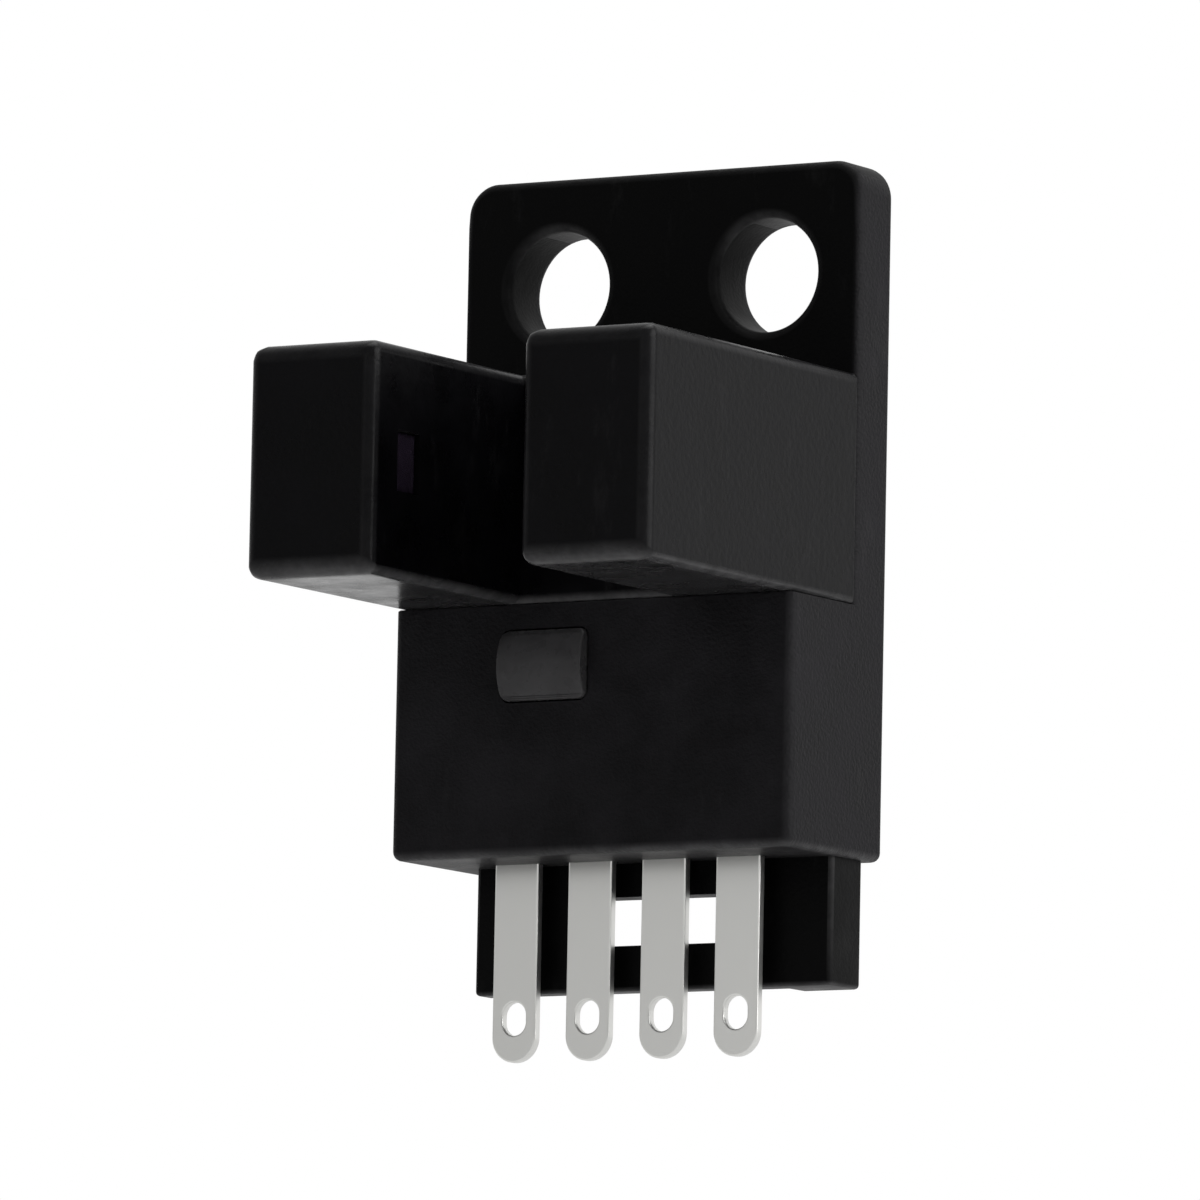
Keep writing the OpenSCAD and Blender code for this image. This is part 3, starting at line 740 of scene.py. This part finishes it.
class SWITCH_OT_case(bpy.types.Operator):
    """Builds the case: mounting plate, hollow base and connector guide"""

    bl_idname = "switch.case"
    bl_label = "Case"

    def guide(self, s):
        """Web and post under the base, sunk a little into its floor, with the lock window cut through."""
        front, web = mm(s.guide_front), mm(s.guide_web)
        left, right = mm(s.guide_left), mm(s.guide_right)
        post_left, post_back = right - mm(s.guide_post_width), front + mm(s.guide_post_depth)
        outline = [(left, front), (right, front), (right, post_back)]
        outline += [(post_left, post_back), (post_left, front + web), (left, front + web)]
        sunk = mm(s.base_bottom) + GUIDE_SINK
        bm = prism(outline, "z", mm(CASE_LOW.z), sunk)

        def radius(edge):
            top = all(abs(vertex.co.z - sunk) < NEAR for vertex in edge.verts)
            return GUIDE_EDGE if free_edge(edge) and not top else 0.0

        bm = round_edges(bm, radius, segments=4)
        window = shifted(
            rounded_outline(mm(s.lock_width), mm(s.lock_height), LOCK_CORNER),
            mm(s.lock_offset),
            mm(s.base_bottom) - mm(s.lock_drop) - mm(s.lock_height) / 2,
        )
        cutter = prism(window, "y", front - OVERCUT, front + web + OVERCUT)
        return mesh_copy(carve(bm, [("DIFFERENCE", cutter)]))

    def body(self, s):
        """Plate and base as one solid, with round corners and edges."""
        half = mm(s.body_width) / 2
        plate, depth = mm(s.plate_thickness), mm(s.base_depth)
        top, step, bottom = mm(s.plate_top), mm(s.base_top), mm(s.base_bottom)
        outline = [(0.0, top), (-plate, top), (-plate, step)]
        outline += [(-depth, step), (-depth, bottom), (0.0, bottom)]
        bm = prism(outline, "x", -half, half)

        def top_corner(edge):
            a, b = edge.verts[0].co, edge.verts[1].co
            return abs(a.z - top) < NEAR and abs(b.z - top) < NEAR and abs(a.x - b.x) < NEAR

        corners = [edge for edge in bm.edges if top_corner(edge)]
        bmesh.ops.bevel(
            bm, geom=corners, offset=mm(s.plate_corner), segments=12, profile=0.5, affect="EDGES"
        )
        bm.normal_update()

        def radius(edge):
            if not free_edge(edge):
                return 0.0
            if all(abs(v.co.z - step) < NEAR for v in edge.verts):
                return mm(s.seam_radius)
            return mm(s.edge_radius)

        return round_edges(bm, radius)

    def execute(self, context):
        s = context.scene.switch_case
        f = context.scene.switch_fittings
        half_inner = mm(s.body_width) / 2 - mm(s.wall)
        inner_front = mm(s.wall) - mm(s.base_depth)
        floor = mm(BOARD_LOW.z)
        plate = -mm(s.plate_thickness)
        steps = [("UNION", self.guide(s))]
        for side in (-1, 1):
            x = side * mm(s.screw_pitch) / 2
            cutter = screw_cutter(x, mm(s.screw_diameter) / 2, mm(s.screw_rim), mm(s.plate_thickness))
            steps.append(("DIFFERENCE", cutter))
        cavity = box((-half_inner, inner_front, floor), (half_inner, plate, mm(s.base_top) + OVERCUT))
        steps.append(("DIFFERENCE", cavity))
        for name in ("emitter_leads", "receiver_leads"):
            low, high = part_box(name)
            pocket = box(
                (mm(low.x) - LEAD_POCKET_GAP, plate - OVERCUT, mm(low.z) - LEAD_POCKET_GAP),
                (mm(high.x) + LEAD_POCKET_GAP, plate + LEAD_POCKET_DEPTH, mm(high.z) + LEAD_POCKET_GAP),
            )
            steps.append(("DIFFERENCE", pocket))
        for name in TERMINALS:
            low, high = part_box(name)
            middle, half_slot = mm(low.x + high.x) / 2, mm(f.blade_width) / 2 + FIT
            slot = box(
                (middle - half_slot, mm(low.y) - FIT, mm(s.base_bottom) - OVERCUT),
                (middle + half_slot, mm(high.y) + FIT, floor + OVERCUT),
            )
            steps.append(("DIFFERENCE", slot))
        lamp = (LAMP_LOW + LAMP_HIGH) / 2
        opening = rounded_outline(mm(f.indicator_width), mm(f.indicator_height), mm(f.indicator_corner))
        opening = shifted(opening, mm(lamp.x), mm(lamp.z))
        through = prism(opening, "y", -mm(s.base_depth) - OVERCUT, inner_front + OVERCUT)
        steps.append(("DIFFERENCE", through))
        mesh = carve(self.body(s), steps)
        look = context.scene.switch_finish
        material = moulded_plastic(
            "case_plastic",
            look.case_colour,
            look.wear_and_underlight_colour,
            grain=(look.grain_size, look.grain_depth),
            roughness=0.5,
            specular=0.06,
            # Painted shade on the recessed fronts of the plate and the guide.
            smooth=(look.recess_shade_colour, s.guide_front - 0.5 * MM, s.body_width / 2),
        )
        finish_piece("case_moulding", mesh, material, ["case"])
        return {"FINISHED"}


class SWITCH_OT_hood(bpy.types.Operator):
    """Builds the forked hood with its hollow arms and window openings"""

    bl_idname = "switch.hood"
    bl_label = "Hood"

    def execute(self, context):
        s, h = context.scene.switch_case, context.scene.switch_hood
        half, gap, wall = mm(s.body_width) / 2, mm(h.slot_width) / 2, mm(s.wall)
        tip, root, back = mm(HOOD_LOW.y), -mm(s.base_depth), mm(HOOD_HIGH.y)
        top, bottom = mm(HOOD_HIGH.z), mm(s.base_top)
        outline = [(-half, back), (half, back), (half, root), (half, tip), (gap, tip)]
        outline += [(gap, root), (-gap, root), (-gap, tip), (-half, tip), (-half, root)]
        bm = prism(outline, "z", bottom, top)

        def radius(edge):
            if not free_edge(edge):
                return 0.0
            a, b = edge.verts[0].co, edge.verts[1].co
            low = max(a.z, b.z) < bottom + NEAR
            if min(a.y, b.y) > back - NEAR or (low and min(a.y, b.y) > root - NEAR):
                return mm(s.seam_radius)
            if max(a.y, b.y) < tip + NEAR and abs(a.z - b.z) < NEAR:
                return mm(h.tip_radius)
            return mm(h.edge_radius)

        bm = round_edges(bm, radius, segments=6)
        inner, root_inner, roof = half - wall, root + wall, top - wall
        axis_y, axis_z = tip + mm(h.window_reach), (top + bottom) / 2
        half_width, half_height = mm(h.window_width) / 2, mm(h.window_height) / 2
        steps = []
        for side in (-1, 1):
            x = sorted((side * (gap + wall), side * inner))
            hollow = box((x[0], tip + wall, bottom + wall), (x[1], root_inner + OVERCUT, roof))
            steps.append(("DIFFERENCE", hollow))
        hollow = box((-inner, root_inner, bottom - OVERCUT), (inner, back + OVERCUT, roof))
        steps.append(("DIFFERENCE", hollow))
        for side in (-1, 1):
            x = sorted((side * (gap - OVERCUT), side * (gap + wall + BITE)))
            low = (x[0], axis_y - half_width, axis_z - half_height)
            high = (x[1], axis_y + half_width, axis_z + half_height)
            steps.append(("DIFFERENCE", box(low, high)))
        lip_front = root_inner + FIT
        lip_back = lip_front + LIP_THICKNESS
        shelf = box(
            (-inner - BITE, root_inner - BITE, bottom + 2 * BITE),
            (inner + BITE, lip_back, bottom + wall),
        )
        lip = box((FIT - inner, lip_front, mm(HOOD_LOW.z)), (inner - FIT, lip_back, bottom + wall / 2))
        steps += [("UNION", shelf), ("UNION", lip)]
        rib_bottom = mm(BOARD_HIGH.z) - RIB_GRIP
        for side in (-1, 1):
            x = side * gap
            rib = box(
                (x - RIB_WIDTH / 2, root_inner - BITE, rib_bottom),
                (x + RIB_WIDTH / 2, mm(BOARD_LOW.y), roof + BITE),
            )
            steps.append(("UNION", rib))
        mesh = carve(bm, steps)
        look = context.scene.switch_finish
        material = moulded_plastic(
            "hood_plastic",
            look.hood_colour,
            look.wear_and_underlight_colour,
            grain=(look.ripple_size, look.ripple_depth),
            roughness=0.3,
            specular=0.075,
        )
        finish_piece("hood_moulding", mesh, material, ["hood"])
        return {"FINISHED"}


class SWITCH_OT_windows(bpy.types.Operator):
    """Dresses the optical windows in the slot and builds the indicator window in the base"""

    bl_idname = "switch.windows"
    bl_label = "Windows"

    def execute(self, context):
        s, f = context.scene.switch_case, context.scene.switch_fittings
        look = context.scene.switch_finish
        clear = polished_plastic("window_plastic", look.window_colour, 0.12, 0.6)
        for name in OPTICAL_WINDOWS:
            dress_node(name, clear)
        low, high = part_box("indicator_window")
        middle = (low + high) / 2
        x, z, crown = mm(middle.x), mm(middle.z), mm(f.indicator_crown)
        width, height = mm(f.indicator_width) - 2 * FIT, mm(f.indicator_height) - 2 * FIT
        inner_front = mm(s.wall) - mm(s.base_depth)
        edge = -mm(s.base_depth) - mm(f.indicator_proud)
        nose = shifted(rounded_outline(width, height, mm(f.indicator_corner) - FIT), x, z)
        bend = (height**2 / 4 / crown + crown) / 2
        reach = math.asin(height / 2 / bend)
        profile = [(inner_front + OVERCUT, z - height), (edge, z - height)]
        for step in range(33):
            angle = reach * (step / 16 - 1)
            profile.append((edge - crown + bend * (1 - math.cos(angle)), z + bend * math.sin(angle)))
        profile += [(edge, z + height), (inner_front + OVERCUT, z + height)]
        shape = prism(profile, "x", x - width, x + width)
        block = prism(nose, "y", edge - crown - OVERCUT, inner_front + BITE)
        bm = mesh_copy(carve(block, [("INTERSECT", shape)]))

        def radius(rim):
            front = all(v.co.y < edge + 10 * NEAR for v in rim.verts)
            return LENS_EDGE if front and free_edge(rim) else 0.0

        bm = round_edges(bm, radius, segments=4)
        flange = rounded_outline(mm(high.x - low.x), mm(high.z - low.z), mm(f.indicator_corner))
        mesh = carve(bm, [("UNION", prism(shifted(flange, x, z), "y", inner_front, mm(high.y)))])
        material = polished_plastic("indicator_plastic", look.indicator_colour, 0.25, 0.0, 0.15)
        finish_piece("indicator_lens", mesh, material, ["indicator_window"])
        return {"FINISHED"}


class SWITCH_OT_terminals(bpy.types.Operator):
    """Builds the row of stamped terminals with their solder eyes"""

    bl_idname = "switch.terminals"
    bl_label = "Terminals"

    def blade(self, f):
        """One blade about the middle of the row, stamped from sheet, with round edges all round."""
        width, edge = mm(f.blade_width), mm(f.blade_edge)
        tip, top = mm(BLADE_LOW.z), mm(BLADE_HIGH.z)
        shoulder, pad = mm(BOARD_LOW.z), mm(BLADE_HIGH.x - BLADE_LOW.x)
        radius = width / 2
        outer = []
        for step in range(25):
            angle = math.radians(180) * (1 + step / 24)
            outer.append((radius * math.cos(angle), tip + radius + radius * math.sin(angle)))
        outer += [(radius, shoulder), (pad / 2, shoulder), (pad / 2, top)]
        outer += [(-pad / 2, top), (-pad / 2, shoulder), (-radius, shoulder)]
        eye = rounded_outline(mm(f.eye_width), mm(f.eye_length), mm(f.eye_width) / 2 - NEAR, steps=10)
        eye = shifted(eye, 0.0, tip + mm(f.eye_reach))
        curve = bpy.data.curves.new("blade", "CURVE")
        curve.dimensions = "2D"
        curve.fill_mode = "BOTH"
        for outline in (outer, eye):
            spline = curve.splines.new("POLY")
            spline.points.add(len(outline) - 1)
            for point, (x, z) in zip(spline.points, outline):
                point.co = (x, z, 0.0, 1.0)
            spline.use_cyclic_u = True
        thickness = mm(BLADE_HIGH.y - BLADE_LOW.y)
        curve.bevel_depth = edge
        curve.bevel_resolution = 2
        curve.extrude = thickness / 2 - edge
        curve.offset = -edge
        mesh = settle(placed("blade", curve))
        middle = mm(BLADE_LOW.y + BLADE_HIGH.y) / 2
        mesh.transform(Matrix.Translation((0.0, middle, 0.0)) @ Matrix.Rotation(math.radians(90), 4, "X"))
        return mesh

    def row_tree(self):
        """Geometry nodes that repeat the blade along X about the middle of the row."""
        tree = bpy.data.node_groups.new("Terminal row", "GeometryNodeTree")
        kinds = {"Geometry": "Geometry", "Count": "Int", "Pitch": "Float", "Material": "Material"}
        for label, kind in kinds.items():
            tree.interface.new_socket(label, in_out="INPUT", socket_type=f"NodeSocket{kind}")
        tree.interface.new_socket("Geometry", in_out="OUTPUT", socket_type="NodeSocketGeometry")
        given = tree.nodes.new("NodeGroupInput")
        result = tree.nodes.new("NodeGroupOutput")
        gaps = math_node(tree, "SUBTRACT", given.outputs["Count"], 1.0)
        span = math_node(tree, "MULTIPLY", gaps, given.outputs["Pitch"])
        first = node(tree, "ShaderNodeCombineXYZ", {"X": math_node(tree, "MULTIPLY", span, -0.5)})
        step = node(tree, "ShaderNodeCombineXYZ", {"X": given.outputs["Pitch"]})
        places = {"Start Location": first.outputs[0], "Offset": step.outputs[0]}
        places["Count"] = given.outputs["Count"]
        line = node(tree, "GeometryNodeMeshLine", places, mode="OFFSET")
        copies = {"Points": line.outputs[0], "Instance": given.outputs["Geometry"]}
        repeat = node(tree, "GeometryNodeInstanceOnPoints", copies)
        real = node(tree, "GeometryNodeRealizeInstances", {"Geometry": repeat.outputs[0]})
        paint = {"Geometry": real.outputs[0], "Material": given.outputs["Material"]}
        painted = node(tree, "GeometryNodeSetMaterial", paint)
        tree.links.new(painted.outputs[0], result.inputs["Geometry"])
        return tree

    def execute(self, context):
        f, look = context.scene.switch_fittings, context.scene.switch_finish
        material = shared_material("tinned_metal", tinned_metal, look.tin_colour, look.brass_colour)
        obj = placed("row", self.blade(f))
        tree = self.row_tree()
        modifier = obj.modifiers.new("row", "NODES")
        modifier.node_group = tree
        values = {"Count": f.terminal_count, "Pitch": mm(f.terminal_pitch), "Material": material}
        for item in tree.interface.items_tree:
            if item.in_out == "INPUT" and item.name in values:
                modifier[item.identifier] = values[item.name]
        mesh = settle(obj)
        bm = bmesh.new()
        bm.from_mesh(mesh)
        bmesh.ops.remove_doubles(bm, verts=bm.verts, dist=0.0005)
        bmesh.ops.recalc_face_normals(bm, faces=bm.faces)
        for face in bm.faces:
            face.material_index = 1 if abs(face.normal.y) < 0.98 else 0
        bm.to_mesh(mesh)
        bm.free()
        finish_piece("terminal_row", mesh, material, TERMINALS, sheet=True)
        return {"FINISHED"}


class SWITCH_OT_board(bpy.types.Operator):
    """Dresses the circuit board, the optical elements and the parts on the board"""

    bl_idname = "switch.board"
    bl_label = "Board and elements"

    def execute(self, context):
        look = context.scene.switch_finish
        tin = shared_material("tinned_metal", tinned_metal, look.tin_colour, look.brass_colour)
        dress_node("circuit_board", board_laminate("board_laminate", look.board_colour))
        dress_node("emitter_body", polished_plastic("clear_epoxy", look.emitter_colour, 0.1, 0.8))
        dress_node("receiver_body", polished_plastic("dark_epoxy", look.receiver_colour, 0.12, 0.8))
        dress_node("indicator_lamp", polished_plastic("lamp_epoxy", look.lamp_colour, 0.15, 0.7))
        for name in ("emitter_leads", "receiver_leads", "transistor_legs", "lead_solder"):
            dress_node(name, tin)
        for name in ("emitter_resistor", "indicator_resistor", "base_resistor"):
            dress_node(name, chip_with_ends(name, look.resistor_colour, look.end_colour))
        name = "supply_capacitor"
        dress_node(name, chip_with_ends(name, look.capacitor_colour, look.end_colour))
        name = "protection_diode"
        dress_node(name, chip_with_ends(name, look.chip_colour, look.end_colour, end_share=0.12))
        moulding = moulded_plastic(
            "chip_moulding",
            look.chip_colour,
            look.chip_rub_colour,
            grain=(0.06 * MM, 0.01 * MM),
            roughness=0.6,
            specular=0.35,
        )
        dress_node("output_transistor", moulding)
        return {"FINISHED"}


class SWITCH_OT_stage(bpy.types.Operator):
    """Sets up the floor, the lamps, the surroundings and the camera"""

    bl_idname = "switch.stage"
    bl_label = "Stage"

    def floor(self, level, reach):
        """Pale floor that shows from above only and fades into the white surroundings."""
        mesh = bpy.data.meshes.new("floor")
        corners = ((-reach, -reach), (reach, -reach), (reach, reach), (-reach, reach))
        mesh.from_pydata([(x, y, level) for x, y in corners], [], [(0, 1, 2, 3)])
        material = bpy.data.materials.new("floor")
        material.use_nodes = True
        tree = material.node_tree
        tree.nodes.clear()
        matt = node(tree, "ShaderNodeBsdfDiffuse", {"Color": (0.86, 0.86, 0.86, 1.0)})
        white = node(tree, "ShaderNodeEmission", {"Color": (1.0, 1.0, 1.0, 1.0), "Strength": 0.85})
        path = node(tree, "ShaderNodeLightPath")
        glossy = path.outputs["Is Glossy Ray"]
        paper = node(tree, "ShaderNodeMixShader", {0: glossy, 1: matt.outputs[0], 2: white.outputs[0]})
        open_side = node(tree, "ShaderNodeBsdfTransparent")
        facing = node(tree, "ShaderNodeNewGeometry")
        place = node(tree, "ShaderNodeTexCoord").outputs["Object"]
        away = node(tree, "ShaderNodeVectorMath", {0: place}, operation="LENGTH").outputs["Value"]
        faded = mapped(tree, away, 0.12 * reach, 0.55 * reach, 0.0, 1.0, smooth=True)
        unseen = math_node(tree, "MAXIMUM", facing.outputs["Backfacing"], faded)
        sides = {0: unseen, 1: paper.outputs[0], 2: open_side.outputs[0]}
        choice = node(tree, "ShaderNodeMixShader", sides)
        output = node(tree, "ShaderNodeOutputMaterial")
        tree.links.new(choice.outputs[0], output.inputs["Surface"])
        mesh.materials.append(material)
        placed("floor", mesh)

    def lamp(self, name, place, aim, size, level):
        """Square soft lamp; a white surface that faces it squarely shows at its level."""
        light = bpy.data.lights.new(name, "AREA")
        light.shape = "SQUARE"
        light.size = size
        away = Vector(place) - Vector(aim)
        light.energy = level * math.pi**2 * away.length_squared
        turn = away.to_track_quat("Z", "Y").to_matrix().to_4x4()
        placed(name, light).matrix_world = Matrix.Translation(place) @ turn

    def surroundings(self, ambient, front, back):
        """White for the camera, soft for matt surfaces, brighter behind than in front for reflections."""
        world = bpy.data.worlds.new("white surroundings")
        world.use_nodes = True
        tree = world.node_tree
        tree.nodes.clear()
        path = node(tree, "ShaderNodeLightPath")
        direction = node(tree, "ShaderNodeTexCoord").outputs["Generated"]
        depth = node(tree, "ShaderNodeSeparateXYZ", {"Vector": direction}).outputs["Y"]
        reflected = mapped(tree, depth, -0.4, 0.5, front, back, smooth=True)
        level = mapped(tree, path.outputs["Is Glossy Ray"], 0.0, 1.0, ambient, reflected)
        camera, through = path.outputs["Is Camera Ray"], path.outputs["Is Transmission Ray"]
        level = mapped(tree, math_node(tree, "MAXIMUM", camera, through), 0.0, 1.0, level, 1.0)
        white = (1.0, 1.0, 1.0, 1.0)
        background = node(tree, "ShaderNodeBackground", {"Color": white, "Strength": level})
        output = node(tree, "ShaderNodeOutputWorld")
        tree.links.new(background.outputs[0], output.inputs["Surface"])
        bpy.context.scene.world = world

    def camera(self, s):
        """Camera at the photograph's place."""
        azimuth, elevation, roll = s.azimuth, s.elevation, s.roll
        level = math.cos(elevation)
        back = Vector((math.sin(azimuth) * level, -math.cos(azimuth) * level, math.sin(elevation)))
        right = Vector((math.cos(azimuth), math.sin(azimuth), 0.0))
        up = back.cross(right)
        target = Vector((0.0, s.aim_depth, s.aim_height)) + s.aim_right * right + s.aim_up * up
        turned_right = right * math.cos(roll) + up * math.sin(roll)
        turned_up = up * math.cos(roll) - right * math.sin(roll)
        place = target + back * s.distance
        data = bpy.data.cameras.new("camera")
        data.sensor_fit = "HORIZONTAL"
        data.sensor_width = SENSOR_WIDTH
        data.lens = s.focal_pixels / FRAME_PIXELS * SENSOR_WIDTH
        data.clip_start = 0.01
        data.clip_end = 10.0
        obj = placed("camera", data)
        rotation = Matrix((turned_right, turned_up, back)).transposed().to_4x4()
        obj.matrix_world = Matrix.Translation(place) @ rotation
        bpy.context.scene.camera = obj

    def execute(self, context):
        s = context.scene.switch_stage
        aim = (Vector(CAD_BOX[0]) + Vector(CAD_BOX[1])) / 2
        self.floor(CAD_BOX[0][2] - FIT * MM, s.floor_reach)
        for name, place, size in LAMPS:
            self.lamp(name, aim + Vector(place), aim, size, getattr(s, f"{name}_level"))
        self.surroundings(s.ambient_level, s.front_level, s.back_level)
        self.camera(s)
        context.scene.view_settings.view_transform = "Standard"
        return {"FINISHED"}


class SWITCH_PT_panel(bpy.types.Panel):
    """Lists the operators and the sizes of the switch"""

    bl_idname = "SWITCH_PT_panel"
    bl_label = "Optical Switch"
    bl_space_type = "VIEW_3D"
    bl_region_type = "UI"
    bl_category = "Optical Switch"

    def draw(self, context):
        for operator in OPERATORS:
            self.layout.operator(operator.bl_idname)
        for name, group in GROUPS.items():
            box_layout = self.layout.box()
            settings = getattr(context.scene, name)
            for key in group.__annotations__:
                box_layout.prop(settings, key)


OPERATORS = (
    SWITCH_OT_case,
    SWITCH_OT_hood,
    SWITCH_OT_windows,
    SWITCH_OT_terminals,
    SWITCH_OT_board,
    SWITCH_OT_stage,
)

GROUPS = {
    "switch_case": SwitchCaseSettings,
    "switch_hood": SwitchHoodSettings,
    "switch_fittings": SwitchFittingSettings,
    "switch_finish": SwitchFinishSettings,
    "switch_stage": SwitchStageSettings,
}


def register():
    for group in GROUPS.values():
        bpy.utils.register_class(group)
    for operator in OPERATORS:
        bpy.utils.register_class(operator)
    bpy.utils.register_class(SWITCH_PT_panel)
    for name, group in GROUPS.items():
        setattr(bpy.types.Scene, name, PointerProperty(type=group))


def unregister():
    for name in GROUPS:
        delattr(bpy.types.Scene, name)
    bpy.utils.unregister_class(SWITCH_PT_panel)
    for operator in reversed(OPERATORS):
        bpy.utils.unregister_class(operator)
    for group in reversed(GROUPS.values()):
        bpy.utils.unregister_class(group)


def main():
    register()
    bpy.ops.switch.case()
    bpy.ops.switch.hood()
    bpy.ops.switch.windows()
    bpy.ops.switch.terminals()
    bpy.ops.switch.board()
    bpy.ops.switch.stage()


if __name__ == "__main__":
    main()
